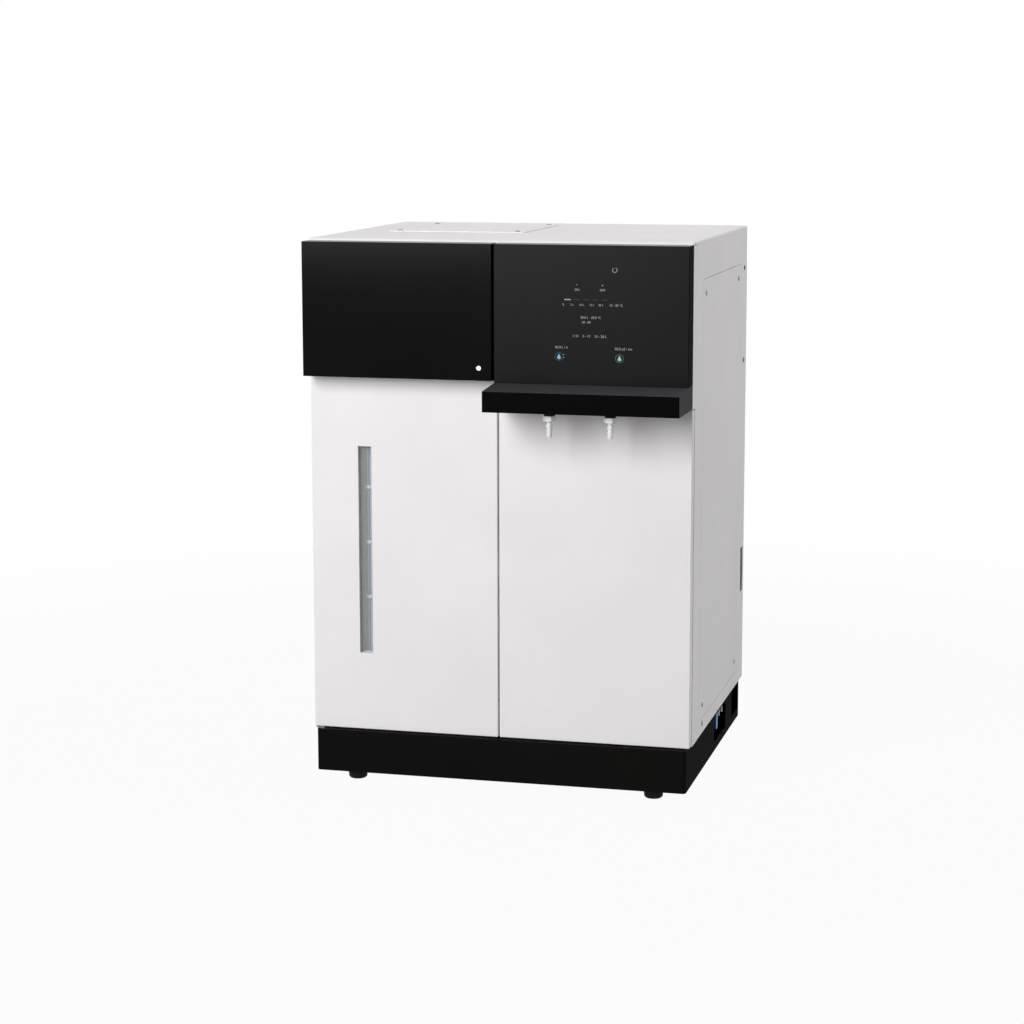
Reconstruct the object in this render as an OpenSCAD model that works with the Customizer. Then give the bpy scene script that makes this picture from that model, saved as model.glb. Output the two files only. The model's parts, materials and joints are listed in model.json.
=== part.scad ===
// A bench water still: a white cabinet on a black plinth, with a black cover over the still,
// a touch panel, a dispensing hood with two nozzles, and a door with a slit for the level gauge.
// Before the last shift, X runs right, Y runs in from the front of the doors, Z up from the plinth.

/* [Cabinet] */
// Width over the side walls
cab_w = 500; // [480:1:560]
// Depth from the front of the doors to the back edge
cab_d = 425; // [415:1:500]
// Height from the underside of the plinth to the top
cab_h = 700; // [690:1:780]
// Thickness of the cabinet's sheet metal
sheet_t = 1.2; // [1:0.1:1.5]
// Gap round a removable side panel
seam = 0.6; // [0.4:0.1:1]
// Height of the top cover's side skirts
skirt_drop = 50; // [40:1:60]
// Height of the rail under the side panels
rail_h = 19; // [15:1:25]
// Width of a front post on the side of the cabinet
front_post_w = 55; // [45:1:65]
// Width of a rear post on the side of the cabinet
rear_post_w = 55; // [50:1:65]
// Ledge on a post that carries a side panel
land_w = 35; // [30:1:45]
// Width of a front post's flange behind the doors
post_flange = 28; // [20:1:34]
// How far the rear panel sits inside the back edge
back_set = 3; // [2.5:0.5:5]
// Height of the top cover's lip over the black covers
lip_h = 4; // [3:0.5:6]
// Distance of the middle shelf below the upper cover
shelf_down = 14.5; // [12:0.5:20]

/* [Plinth] */
// Height of the plinth
plinth_h = 56; // [54:1:70]
// How far the plinth's sides and back sit inside the cabinet
plinth_inset = 3.5; // [2:0.5:6]
// How far the plinth stands out in front of the doors
plinth_proud = 5; // [3:0.5:8]
// Thickness of the plinth's sheet
plinth_t = 1.5; // [1.2:0.1:2]
// Corner radius of the plinth
plinth_r = 5; // [3:0.5:8]
// Flange inside the plinth's top edge
plinth_flange = 12; // [8:1:14]
// Height of the plinth floor's upstands
tray_up = 10; // [6:1:10]
// Distance of the drain port's middle from the front of the doors
port_a_y = 258; // [240:1:270]
// Length of the drain port
port_a_w = 95; // [90:1:110]
// Distance of the hose port's middle from the cabinet's back edge
port_b_in = 41; // [38:1:50]
// Length of the hose port
port_b_w = 55; // [40:1:60]
// Height of a port
port_h = 38; // [34:1:40]
// Sill height of a port
port_sill = 10; // [10:1:12]
// Height of a foot
foot_h = 15; // [12:0.5:20]
// Radius of a foot
foot_r = 13; // [11:0.5:16]
// Distance of a foot from the plinth's side
foot_in = 47; // [30:1:60]
// Distance of a foot from the plinth's front or back
foot_back = 30; // [25:1:50]

/* [Front] */
// Thickness of the lower doors
door_t = 16; // [15:0.5:20]
// Gap between the doors and the posts
door_clear = 2; // [2:0.25:3]
// Gap between the two doors
mid_gap = 2; // [2:0.25:4]
// Gap under the lower doors
door_lift = 2; // [2:0.25:3]
// Gap over the left door
door_head = 2.5; // [2.5:0.25:4]
// Height of the upper cover
cover_h = 172; // [168:0.5:178]
// White strip left above the black covers
top_reveal = 3; // [2:0.5:5]
// How far the black covers stand out
cover_proud = 30; // [28:1:36]
// Sheet thickness of the black covers
cover_t = 1.5; // [1.2:0.1:2]
// Gap behind the swinging cover
cover_back = 2; // [2:0.25:3]
// Distance of a hinge axis from the side of the cabinet
hinge_in = 6; // [6:0.25:7]
// Distance of a hinge axis from the swinging edge behind it
hinge_back = 10; // [10:0.25:11]
// Radius of a hinge pin
pin_r = 2; // [1.5:0.25:2.25]
// Radial clearance of a turning pin
pin_play = 0.05; // [0.03:0.01:0.1]
// Radius of the cover fastener's head
fastener_r = 3; // [2.6:0.1:3.5]
// Distance of the fastener from the cover's right edge
fastener_x_in = 16; // [14:0.5:18]
// Height of the fastener above the cover's lower edge
fastener_up = 16; // [14:0.5:18]

/* [Control panel] */
// Gap between the two black covers
panel_gap = 3.5; // [3:0.5:5]
// Thickness of the touch panel
glass_t = 2; // [1.5:0.25:3]
// How far the control panel reaches below the upper cover
tray_drop = 2; // [2:0.5:6]
// Height of the dispensing hood where it meets the control panel
hood_h = 30; // [28:0.5:36]
// How much the hood's top falls from the control panel to its front edge
hood_fall = 4; // [2:0.5:6]
// How far the hood reaches in front of the control panel
hood_reach = 60; // [50:1:80]
// Left nozzle from the middle of the cabinet
nozzle_a_x = 83; // [60:1:95]
// Right nozzle from the middle of the cabinet
nozzle_b_x = 160; // [140:1:185]
// Distance of the nozzles behind the hood's front
nozzle_in = 22; // [18:1:30]
// Radius of the hose tail's plain end
tail_r = 3.2; // [2.8:0.1:4]
// Length of the hose tail under the nut
tail_l = 19; // [16:0.5:26]
// Length of the hose tail's plain end
land_l = 6; // [5:0.5:8]

/* [Slit and tank] */
// Width of the slit in the left door
slit_w = 18; // [14:1:22]
// Distance of the slit's upper end below the top of the door
slit_down = 90; // [80:1:120]
// Distance of the slit from the cabinet's side
slit_in = 63; // [60:1:80]
// Height of the slit's lower end above the plinth
slit_up = 104; // [95:1:120]
// Gauge tube's outer radius
gauge_r = 4.5; // [4:0.25:5]
// Gauge tube's distance behind the front of the doors
gauge_y = 24.5; // [24.5:0.25:26]
// How far the gauge sits to the left of the slit's middle
gauge_shift = 1.5; // [0:0.5:5]
// Wall of the storage tank
tank_t = 3; // [2:0.25:4]
// Room between the storage tank and the shelf over it
tank_room = 67.8; // [60:0.1:90]
// Depth of the storage tank
tank_d = 255; // [200:1:280]

/* [Hidden] */
$fn = 64;

hw = cab_w / 2;
hood_out = cover_proud + hood_reach;
mid_y = (cab_d - hood_out) / 2;
post_y = door_t + door_clear;
panel_y0 = post_y + front_post_w;
panel_y1 = cab_d - rear_post_w;
panel_z0 = plinth_h + rail_h;
panel_z1 = cab_h - skirt_drop;
floor_z = plinth_h + sheet_t;
roof_z = cab_h - sheet_t;
back_y = cab_d - back_set - sheet_t;
cover_z1 = cab_h - top_reveal;
cover_z0 = cover_z1 - cover_h;
shelf_z = cover_z0 - shelf_down;
hood_z1 = cover_z0 - tray_drop;
hood_z0 = hood_z1 - hood_h;
door_z0 = plinth_h + door_lift;
door_z1 = cover_z0 - door_head;
jamb_z0 = cover_z0 - 0.5;
jamb_w = 25;
door_x = mid_gap / 2;
panel_x0 = panel_gap - mid_gap / 2;
hinge_x = -hw + hinge_in;
cover_axis_y = -cover_back - hinge_back;
door_axis_y = door_t - hinge_back;
fastener_x = -door_x - fastener_x_in;
fastener_z = cover_z0 + fastener_up;
catch_gap = 0.6;
plinth_hw = hw - plinth_inset;
plinth_y1 = cab_d - plinth_inset;
foot_x = plinth_hw - foot_in;
foot_y0 = foot_back - plinth_proud;
foot_y1 = plinth_y1 - foot_back;
screw_r = 2;
screw_in = 19;
screw_gap = 0.1;
port_a_y0 = port_a_y - port_a_w / 2;
port_b_y = cab_d - port_b_in;
valve_x = plinth_hw - 24.5;
valve_y = port_a_y0 + 32;
valve_z = 40;
lever_l = 26;
inlet_y = port_a_y0 + port_a_w - 16;
nozzle_y = -hood_out + nozzle_in;
collar_h = 4.5;
shank_up = 5;
nut_h = 7.7;
nut_r = 7.5;
hose_r = 4;
hose_z = hood_z0 + 10.5;
hose_in = 24;
hose_drop = 70;
pipe_drop = 16;
tank_x0 = -hw + 18;
tank_x1 = -27;
tank_y0 = gauge_y + 24;
tank_h = shelf_z - tank_room - floor_z;
tank_z1 = floor_z + tank_h;
lid_x = (tank_x0 + tank_x1) / 2 + 10;
lid_in = 92;
lid_y = tank_y0 + lid_in;
lid_r = 46;
neck_h = 14;
lid_z = tank_z1 + neck_h;
float_h = 22;
float_z = tank_z1 - 70;
gauge_x = -hw + slit_in + slit_w / 2 - gauge_shift;
slit_x0 = -hw + slit_in;
slit_z0 = plinth_h + slit_up;
slit_h = door_z1 - slit_down - slit_z0;
gauge_z0 = slit_z0 - 18;
gauge_z1 = min(slit_z0 + slit_h + 14, tank_z1 - 4);
still_z = shelf_z + sheet_t;
boiler_y = post_y + 112;
base_h = 16;
vessel_h = 108;
vessel_z1 = still_z + base_h + vessel_h;
cond_r = 30;
cap_rim = 4;
still_gap = 22;
cond_x = -cond_r - cap_rim - still_gap;
base_rim = 5;
boiler_r = (hw + cond_x - cond_r - cap_rim - 6.5 - 2 * base_rim - 23.5) / 2;
boiler_x = -hw + 23.5 + base_rim + boiler_r;
heater_x = boiler_r * 0.36;
cond_z0 = still_z + 24;
cond_h = 116;
cap_h = 12;
steam_z = vessel_z1 + 42;
cartridge_r = 55;
cartridge_in = 130;
cartridge_room = 76.8;
cartridge_h = shelf_z - cartridge_room - floor_z;
cartridge_cap = 26;
breaker_y = cab_d - 18.5;
breaker_z = plinth_h + 159.5;
breaker_w = 28;
breaker_d = 46;
breaker_slot_w = 18;
breaker_slot_h = 63;
breaker_face = hw - 3 * sheet_t;

module in_frame() {
    translate([0, -mid_y, foot_h]) children();
}

module span(lo, hi) {
    translate(lo) cube(hi - lo);
}

module rod_x(p, r, h) {
    translate(p) rotate([0, 90, 0]) cylinder(r = r, h = h);
}

module rod_y(p, r, h) {
    translate(p) rotate([-90, 0, 0]) cylinder(r = r, h = h);
}

module rod_z(p, r, h) {
    translate(p) cylinder(r = r, h = h);
}

module round_rect(lo, hi, r) {
    translate([lo.x + r, lo.y]) square([hi.x - lo.x - 2 * r, hi.y - lo.y]);
    translate([lo.x, lo.y + r]) square([hi.x - lo.x, hi.y - lo.y - 2 * r]);
    for (x = [lo.x + r, hi.x - r], y = [lo.y + r, hi.y - r]) translate([x, y]) circle(r);
}

module link(a, b, r) {
    d = b - a;
    if (d.x != 0) rod_x([min(a.x, b.x), a.y, a.z], r, abs(d.x));
    if (d.y != 0) rod_y([a.x, min(a.y, b.y), a.z], r, abs(d.y));
    if (d.z != 0) rod_z([a.x, a.y, min(a.z, b.z)], r, abs(d.z));
}

module solid_pipe(points, r) {
    for (i = [0:len(points) - 2]) link(points[i], points[i + 1], r);
    if (len(points) > 2) for (i = [1:len(points) - 2]) translate(points[i]) sphere(r);
}

module tube(points, r, bore) {
    difference() {
        solid_pipe(points, r);
        solid_pipe(points, bore);
    }
}

// Plinth

module plinth_plan(inset) {
    round_rect([-plinth_hw + inset, -plinth_proud + inset], [plinth_hw - inset, plinth_y1 - inset],
        plinth_r - inset * 0.6);
}

module port_cut(y, w) {
    translate([plinth_hw - plinth_t - 1, 0, 0]) rotate([90, 0, 90]) linear_extrude(plinth_t + 2)
        round_rect([y - w / 2, port_sill], [y + w / 2, port_sill + port_h], 5);
}

module plinth_skirt() {
    color("#141313") in_frame() difference() {
        linear_extrude(plinth_h) plinth_plan(0);
        translate([0, 0, -1]) linear_extrude(plinth_h - plinth_t + 1) plinth_plan(plinth_t);
        span([-plinth_hw + plinth_flange, -plinth_proud + plinth_flange, 0],
            [plinth_hw - plinth_flange, plinth_y1 - plinth_flange, plinth_h + 1]);
        port_cut(port_a_y, port_a_w);
        port_cut(port_b_y, port_b_w);
    }
}

module foot_spots() {
    for (x = [-foot_x, foot_x], y = [foot_y0, foot_y1]) translate([x, y, 0]) children();
}

module plinth_floor() {
    color("#1d1c1c") in_frame() difference() {
        linear_extrude(tray_up) plinth_plan(plinth_t);
        translate([0, 0, sheet_t]) linear_extrude(tray_up) plinth_plan(plinth_t + sheet_t);
        foot_spots() rod_z([0, 0, -1], screw_r + 0.5 + screw_gap, sheet_t + 2);
    }
}

module rubber_feet() {
    color("#1a1a1a") in_frame() foot_spots() difference() {
        union() {
            rod_z([0, 0, -4], foot_r, 4);
            translate([0, 0, -foot_h + 2]) cylinder(r1 = foot_r - 1, r2 = foot_r, h = foot_h - 6);
            translate([0, 0, -foot_h]) cylinder(r1 = foot_r - 3, r2 = foot_r - 1, h = 2);
        }
        rod_z([0, 0, -foot_h - 1], screw_r + 0.5 + screw_gap, foot_h + 2);
        rod_z([0, 0, -foot_h - 1], 5.5, 7);
    }
}

module foot_screws() {
    color("#8c8c8c") in_frame() foot_spots() union() {
        rod_z([0, 0, -foot_h + 3], 4.5, 3);
        rod_z([0, 0, -foot_h + 6], screw_r + 0.5, foot_h + 2);
        translate([0, 0, sheet_t]) cylinder(r = 4.6, h = 4, $fn = 6);
    }
}

module hose_tail(r, l, plain) {
    barb = (l - plain - 1) / 3;
    cylinder(r = r, h = plain);
    for (i = [0:2]) translate([0, 0, plain + i * barb]) cylinder(r1 = r - 0.2, r2 = r + 0.5, h = barb);
    translate([0, 0, l - 1]) cylinder(r = r - 0.2, h = 1);
}

module drain_valve() {
    tail_y = valve_y + 24;
    color("#eeeeec") in_frame() difference() {
        union() {
            rod_x([valve_x - 9, valve_y, valve_z], 9, 18);
            translate([valve_x + 9, valve_y, valve_z]) rotate([0, 90, 0])
                cylinder(r = 7.5, h = 5, $fn = 6);
            rod_z([valve_x, valve_y, valve_z], 6, plinth_h - valve_z);
            rod_y([valve_x, valve_y, valve_z], 6, tail_y - valve_y);
            translate([valve_x, tail_y, valve_z]) sphere(6);
            rod_x([valve_x, tail_y, valve_z], 5, 4);
            translate([valve_x + 22, tail_y, valve_z]) rotate([0, -90, 0]) hose_tail(4, 19, 6);
        }
        rod_x([valve_x + 6, valve_y, valve_z], 3 + pin_play, 9);
        rod_x([valve_x, tail_y, valve_z], 2.4, 30);
    }
}

module drain_lever() {
    hub_x = valve_x + 14.4;
    color("#1d5fb4") in_frame() union() {
        rod_x([valve_x + 6.4, valve_y, valve_z], 3, 9);
        rod_x([hub_x, valve_y, valve_z], 6.5, 5);
        span([hub_x + 1, valve_y - lever_l + 5.5, valve_z - 5.5], [hub_x + 5, valve_y, valve_z + 5.5]);
        rod_x([hub_x + 1, valve_y - lever_l + 5.5, valve_z], 5.5, 4);
    }
}

module cable_gland() {
    x = valve_x - 4;
    color("#1b1b1b") in_frame() difference() {
        union() {
            translate([x, port_b_y, plinth_h - 6]) cylinder(r = 13, h = 6, $fn = 6);
            rod_z([x, port_b_y, plinth_h - 16], 10, 10);
            translate([x, port_b_y, plinth_h - 24]) cylinder(r1 = 8, r2 = 10, h = 8);
        }
        rod_z([x, port_b_y, plinth_h - 25], 5, 26);
    }
}

// Cabinet

module side_screw_spots() {
    for (y = [panel_y0 + screw_in, panel_y1 - screw_in], z = [panel_z0 + screw_in, panel_z1 - screw_in])
        translate([hw, y, z]) children();
}

module rear_screw_spots() {
    for (z = [panel_z1 - 7, panel_z1 - 136]) translate([hw, cab_d - 23, z]) children();
}

module screw_bore(depth) {
    translate([-depth, 0, 0]) rotate([0, 90, 0]) cylinder(r = screw_r + screw_gap, h = depth + 1);
}

module both_sides() {
    children();
    mirror([1, 0, 0]) children();
}

module chassis_floor() {
    color("#dededf") in_frame() difference() {
        union() {
            span([-hw, post_y, plinth_h], [hw, cab_d, floor_z]);
            both_sides() span([hw - sheet_t, post_y, plinth_h], [hw, cab_d, panel_z0]);
        }
        for (y = [valve_y, inlet_y]) rod_z([valve_x, y, plinth_h - 1], 4, sheet_t + 2);
        rod_z([valve_x - 4, port_b_y, plinth_h - 1], 5, sheet_t + 2);
    }
}

module front_post() {
    color("#e4e4e4") in_frame() difference() {
        union() {
            span([hw - sheet_t, post_y, panel_z0], [hw, panel_y0, panel_z1]);
            span([hw - 2 * sheet_t, post_y, floor_z], [hw - sheet_t, panel_y0 + land_w, roof_z]);
            span([hw - post_flange, post_y, floor_z], [hw - sheet_t, post_y + sheet_t, roof_z]);
        }
        side_screw_spots() screw_bore(8);
    }
}

module breaker_slot() {
    span([hw - 6, breaker_y - breaker_slot_w / 2, breaker_z - breaker_slot_h / 2],
        [hw + 1, breaker_y + breaker_slot_w / 2, breaker_z + breaker_slot_h / 2]);
}

module rear_post() {
    difference() {
        union() {
            span([hw - sheet_t, panel_y1, panel_z0], [hw, cab_d, panel_z1]);
            span([hw - 2 * sheet_t, panel_y1 - land_w, floor_z], [hw - sheet_t, cab_d - sheet_t, roof_z]);
        }
        side_screw_spots() screw_bore(8);
        rear_screw_spots() screw_bore(8);
    }
}

module front_post_left() {
    mirror([1, 0, 0]) front_post();
}

module front_post_right() {
    front_post();
}

module rear_post_left() {
    color("#e4e4e4") in_frame() mirror([1, 0, 0]) rear_post();
}

module rear_post_right() {
    color("#e4e4e4") in_frame() difference() {
        rear_post();
        breaker_slot();
    }
}

plate_x = -hw + 150;
plate_y = cab_d / 2 + 55;
plate_hw = 93;
plate_hd = 102;
plate_screw = 12;

module plate_screw_spots() {
    for (x = [-1, 1], y = [-1, 1])
        translate([plate_x + x * (plate_hw - plate_screw), plate_y + y * (plate_hd - plate_screw), 0])
            children();
}

module top_cover() {
    color("#e6e6e6") in_frame() difference() {
        union() {
            span([-hw, 0, roof_z], [hw, cab_d, cab_h]);
            both_sides() span([hw - sheet_t, post_y, panel_z1], [hw, cab_d, cab_h]);
            span([-hw, 0, cab_h - lip_h], [hw, sheet_t, cab_h]);
            span([-hw, cab_d - sheet_t, cab_h - 15], [hw, cab_d, cab_h]);
        }
        for (x = [-1, 1], y = [-1, 1])
            span([plate_x + x * 36 - 29, plate_y + y * 38 - 31, roof_z - 1],
                [plate_x + x * 36 + 29, plate_y + y * 38 + 31, cab_h + 1]);
        plate_screw_spots() rod_z([0, 0, roof_z - 1], screw_r + screw_gap, sheet_t + 2);
    }
}

module service_plate() {
    color("#e6e6e6") in_frame() difference() {
        span([plate_x - plate_hw, plate_y - plate_hd, cab_h], [plate_x + plate_hw, plate_y + plate_hd,
            cab_h + sheet_t]);
        plate_screw_spots() rod_z([0, 0, cab_h - 1], screw_r + screw_gap, sheet_t + 2);
    }
}

module pan_screw() {
    cylinder(r = 3.6, h = 1);
    translate([0, 0, 1]) cylinder(r1 = 3.6, r2 = 2.4, h = 0.8);
    translate([0, 0, -7]) cylinder(r = screw_r, h = 7);
}

module cabinet_screws() {
    color("#b4b4b4") in_frame() union() {
        both_sides() side_screw_spots() rotate([0, 90, 0]) pan_screw();
        both_sides() rear_screw_spots() rotate([0, 90, 0]) pan_screw();
        plate_screw_spots() translate([0, 0, cab_h + sheet_t]) pan_screw();
    }
}

module side_panel() {
    difference() {
        span([hw - sheet_t, panel_y0 + seam, panel_z0 + seam], [hw, panel_y1 - seam, panel_z1 - seam]);
        side_screw_spots() screw_bore(3);
    }
}

module side_panel_left() {
    color("#e4e4e4") in_frame() mirror([1, 0, 0]) side_panel();
}

module side_panel_right() {
    color("#e4e4e4") in_frame() side_panel();
}

module vent_rows() {
    for (x = [-hw * 0.45, hw * 0.45], z = [plinth_h + 90, cab_h - 134], i = [0:7])
        translate([x - 40, back_y - 1, z + i * 14]) cube([80, sheet_t + 2, 5]);
}

module rear_panel() {
    x = hw - 2 * sheet_t;
    color("#d8d8d8") in_frame() difference() {
        union() {
            span([-x, back_y, floor_z], [x, back_y + sheet_t, roof_z]);
            both_sides() span([x - sheet_t, back_y - 30, floor_z], [x, back_y + sheet_t, roof_z]);
        }
        both_sides() rear_screw_spots() screw_bore(8);
        breaker_slot();
        vent_rows();
    }
}

module partition_half(z0, z1) {
    span([-sheet_t / 2, post_y, z0], [sheet_t / 2, back_y, z1]);
    span([-30, post_y, z0], [30, post_y + sheet_t, z1]);
}

module centre_partition() {
    leg = 12;
    color("#cfd0d1") in_frame() difference() {
        union() {
            partition_half(floor_z, shelf_z);
            partition_half(still_z, roof_z);
            span([fastener_x - leg, 0, fastener_z - leg], [fastener_x + leg, sheet_t, fastener_z + leg]);
            for (x = [fastener_x - leg, fastener_x + leg - sheet_t])
                span([x, 0, fastener_z - leg], [x + sheet_t, post_y, fastener_z + leg]);
        }
        rod_x([-5, valve_y, floor_z + 26], hose_r + 2, 10);
    }
}

module middle_shelf() {
    x = hw - 3 * sheet_t;
    color("#cfd0d1") in_frame() difference() {
        span([-x, post_y + sheet_t, shelf_z], [x, back_y, still_z]);
        rod_z([cond_x, boiler_y, shelf_z - 1], hose_r + 2, sheet_t + 2);
    }
}

// Front

module pivot_tab(z) {
    difference() {
        union() {
            rod_z([hinge_x, cover_axis_y, z], pin_r + 2, 3);
            span([hinge_x - pin_r - 2, cover_axis_y, z], [hinge_x + pin_r + 2, sheet_t, z + 3]);
        }
        rod_z([hinge_x, cover_axis_y, z - 1], pin_r + pin_play, 5);
    }
}

tab_low_z = cover_z0 + cover_t + 0.4;
tab_high_z = cover_z1 - cover_t - 3.4;

module hinge_jamb() {
    color("#e6e6e6") in_frame() union() {
        span([-hw, 0, jamb_z0], [-hw + jamb_w, sheet_t, cab_h - lip_h]);
        span([-hw, 0, jamb_z0], [-hw + sheet_t, post_y, cab_h - lip_h]);
        span([-hw, sheet_t, jamb_z0], [-hw + sheet_t, post_y, roof_z]);
        span([-hw, 0, jamb_z0], [-hw + jamb_w, post_y, jamb_z0 + sheet_t]);
        pivot_tab(tab_low_z);
        pivot_tab(tab_high_z);
    }
}

module panel_backing() {
    z0 = hood_z0 - 0.5;
    z1 = cab_h - lip_h;
    color("#e6e6e6") in_frame() difference() {
        union() {
            span([door_x, 0, z0], [hw, sheet_t, z1]);
            span([hw - sheet_t, 0, z0], [hw, post_y, z1]);
            span([hw - sheet_t, sheet_t, z0], [hw, post_y, roof_z]);
            span([door_x, sheet_t, z0], [door_x + sheet_t, post_y, roof_z]);
            span([door_x, 0, z0], [hw, post_y, z0 + sheet_t]);
        }
        for (x = [nozzle_a_x, nozzle_b_x]) rod_y([x, -1, hose_z], hose_r + 1.5, 4);
        span([nozzle_b_x + 20, -1, cover_z0 + 60], [nozzle_b_x + 60, sheet_t + 1, cover_z0 + 100]);
    }
}

module upper_cover() {
    color("#1b1a1b") in_frame() difference() {
        span([-hw, -cover_proud, cover_z0], [-door_x, -cover_back, cover_z1]);
        span([-hw + cover_t, -cover_proud + cover_t, cover_z0 + cover_t],
            [-door_x - cover_t, 1, cover_z1 - cover_t]);
        for (z = [tab_low_z, tab_high_z])
            span([-hw - 1, cover_axis_y - 8, z - 1], [-hw + cover_t + 1, 1, z + 4]);
        rod_z([hinge_x, cover_axis_y, cover_z0 - 1], pin_r, cover_h + 2);
        rod_y([fastener_x, -cover_proud - 1, fastener_z], screw_r + pin_play, cover_t + 2);
    }
}

module cover_hinge_pins() {
    color("#9a9a9a") in_frame() union() {
        rod_z([hinge_x, cover_axis_y, cover_z0], pin_r, tab_low_z + 5 - cover_z0);
        rod_z([hinge_x, cover_axis_y, tab_high_z - 2], pin_r, cover_z1 - tab_high_z + 2);
    }
}

module cover_fastener() {
    front = -cover_proud;
    color("#dcdcdc") in_frame() difference() {
        union() {
            rod_y([fastener_x, front - 1.6, fastener_z], fastener_r, 1.55);
            rod_y([fastener_x, front - 0.5, fastener_z], screw_r, cover_proud + 0.5 - catch_gap);
            rod_y([fastener_x, front + cover_t + 0.05, fastener_z], fastener_r, 1);
        }
        span([fastener_x - 0.4, front - 2, fastener_z - 5], [fastener_x + 0.4, front - 1, fastener_z + 5]);
    }
}

module control_housing() {
    w = 2;
    front = -cover_proud + glass_t;
    color("#19191a") in_frame() difference() {
        union() {
            difference() {
                span([panel_x0, front, hood_z1], [hw, 0, cover_z1]);
                span([panel_x0 + w, front + w, hood_z1 + w], [hw - w, 1, cover_z1 - w]);
            }
            for (x = [panel_x0 + 45, hw - 45], z = [hood_z1 + 30, cover_z1 - 30])
                rod_y([x, front + w - 0.5, z], 3, 8.5);
        }
    }
}

module touch_panel() {
    color("#222124") in_frame()
        span([panel_x0, -cover_proud, hood_z1], [hw, -cover_proud + glass_t, cover_z1]);
}

module control_board() {
    y = -cover_proud + glass_t + 10;
    color("#1f6b45") in_frame() union() {
        span([panel_x0 + 38, y, hood_z1 + 23], [hw - 38, y + 1.6, cover_z1 - 23]);
        span([panel_x0 + 60, y + 1.6, hood_z1 + 50], [panel_x0 + 84, y + 11, hood_z1 + 70]);
        span([panel_x0 + 96, y + 1.6, hood_z1 + 90], [panel_x0 + 120, y + 5, hood_z1 + 114]);
        span([hw - 80, y + 1.6, hood_z1 + 40], [hw - 56, y + 9, hood_z1 + 100]);
    }
}

module dispensing_hood() {
    w = cover_t;
    color("#161516") in_frame() difference() {
        translate([panel_x0, 0, 0]) rotate([90, 0, 90]) linear_extrude(hw - panel_x0) polygon([
            [-hood_out, hood_z0], [0, hood_z0], [0, hood_z1], [-cover_proud, hood_z1],
            [-hood_out, hood_z1 - hood_fall]
        ]);
        span([panel_x0 + w, -hood_out + w, hood_z0 + w], [hw - w, 1, hood_z1 - hood_fall - w]);
        for (x = [nozzle_a_x, nozzle_b_x]) rod_z([x, nozzle_y, hood_z0 - 1], 5 + screw_gap, w + 2);
    }
}

module nozzle(x) {
    nut_z = hood_z0 - collar_h - nut_h;
    color("#f0f0ee") in_frame() translate([x, nozzle_y, 0]) difference() {
        union() {
            rod_z([0, 0, nut_z + nut_h], 5, collar_h + shank_up);
            translate([0, 0, nut_z]) cylinder(r = nut_r, h = nut_h, $fn = 6);
            translate([0, 0, nut_z - tail_l]) hose_tail(tail_r, tail_l, land_l);
        }
        rod_z([0, 0, nut_z - tail_l - 1], 2, tail_l + nut_h + collar_h + shank_up + 2);
    }
}

module nozzle_left() {
    nozzle(nozzle_a_x);
}

module nozzle_right() {
    nozzle(nozzle_b_x);
}

module nozzle_collars() {
    color("#1d1d1d") in_frame() for (x = [nozzle_a_x, nozzle_b_x]) difference() {
        rod_z([x, nozzle_y, hood_z0 - collar_h], 7, collar_h);
        rod_z([x, nozzle_y, hood_z0 - collar_h - 1], 5 + screw_gap, collar_h + 2);
    }
}

module door_shell(x0, x1, z1) {
    difference() {
        span([x0, 0, door_z0], [x1, door_t, z1]);
        span([x0 + sheet_t, sheet_t, door_z0 + sheet_t], [x1 - sheet_t, door_t + 1, z1 - sheet_t]);
    }
}

module slit_cut(grow, y0, y1) {
    span([slit_x0 - grow, y0, slit_z0 - grow], [slit_x0 + slit_w + grow, y1, slit_z0 + slit_h + grow]);
}

module left_door() {
    color("#e8e8e8") in_frame() difference() {
        door_shell(-hw, -door_x, door_z1);
        slit_cut(0, -1, sheet_t + 1);
        rod_z([hinge_x, door_axis_y, door_z0 - 1], pin_r + pin_play, door_z1 - door_z0 + 2);
    }
}

liner_y = door_t - 1 - sheet_t;

module door_liner() {
    color("#dcdcdc") in_frame() difference() {
        union() {
            span([-hw + sheet_t, liner_y, door_z0 + sheet_t], [-door_x - sheet_t, liner_y + sheet_t,
                door_z1 - sheet_t]);
            slit_cut(2, sheet_t, liner_y + sheet_t);
        }
        slit_cut(0, 0, door_t);
        slit_cut(1, 6, 8);
    }
}

module slit_pane() {
    color("#d9e6ea") in_frame() slit_cut(1, 6, 8);
}

module door_pivots() {
    x = hinge_x;
    y = door_axis_y;
    color("#8f8f8f") in_frame() union() {
        span([-hw + 1, 1, plinth_h], [x + 6, post_y - 1, plinth_h + 1.5]);
        rod_z([x, y, plinth_h], pin_r, 12);
        span([-hw + 1, 1, jamb_z0 - 1.5], [x + 6, post_y - 1, jamb_z0]);
        rod_z([x, y, jamb_z0 - 12], pin_r, 12);
    }
}

module door_magnets() {
    color("#3a3a3c") in_frame() for (z = [door_z0 + 50, door_z1 - 50])
        span([-26, door_t + 0.3, z - 12], [-8, post_y, z + 12]);
}

module right_front_panel() {
    color("#e8e8e8") in_frame() door_shell(door_x, hw, hood_z0 - 2);
}

module front_panel_studs() {
    color("#9a9a9a") in_frame() for (x = [18, hw - 14], z = [door_z0 + 40, hood_z0 - 42])
        rod_y([x, sheet_t, z], 4, post_y - sheet_t);
}

// Tank and gauge

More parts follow.
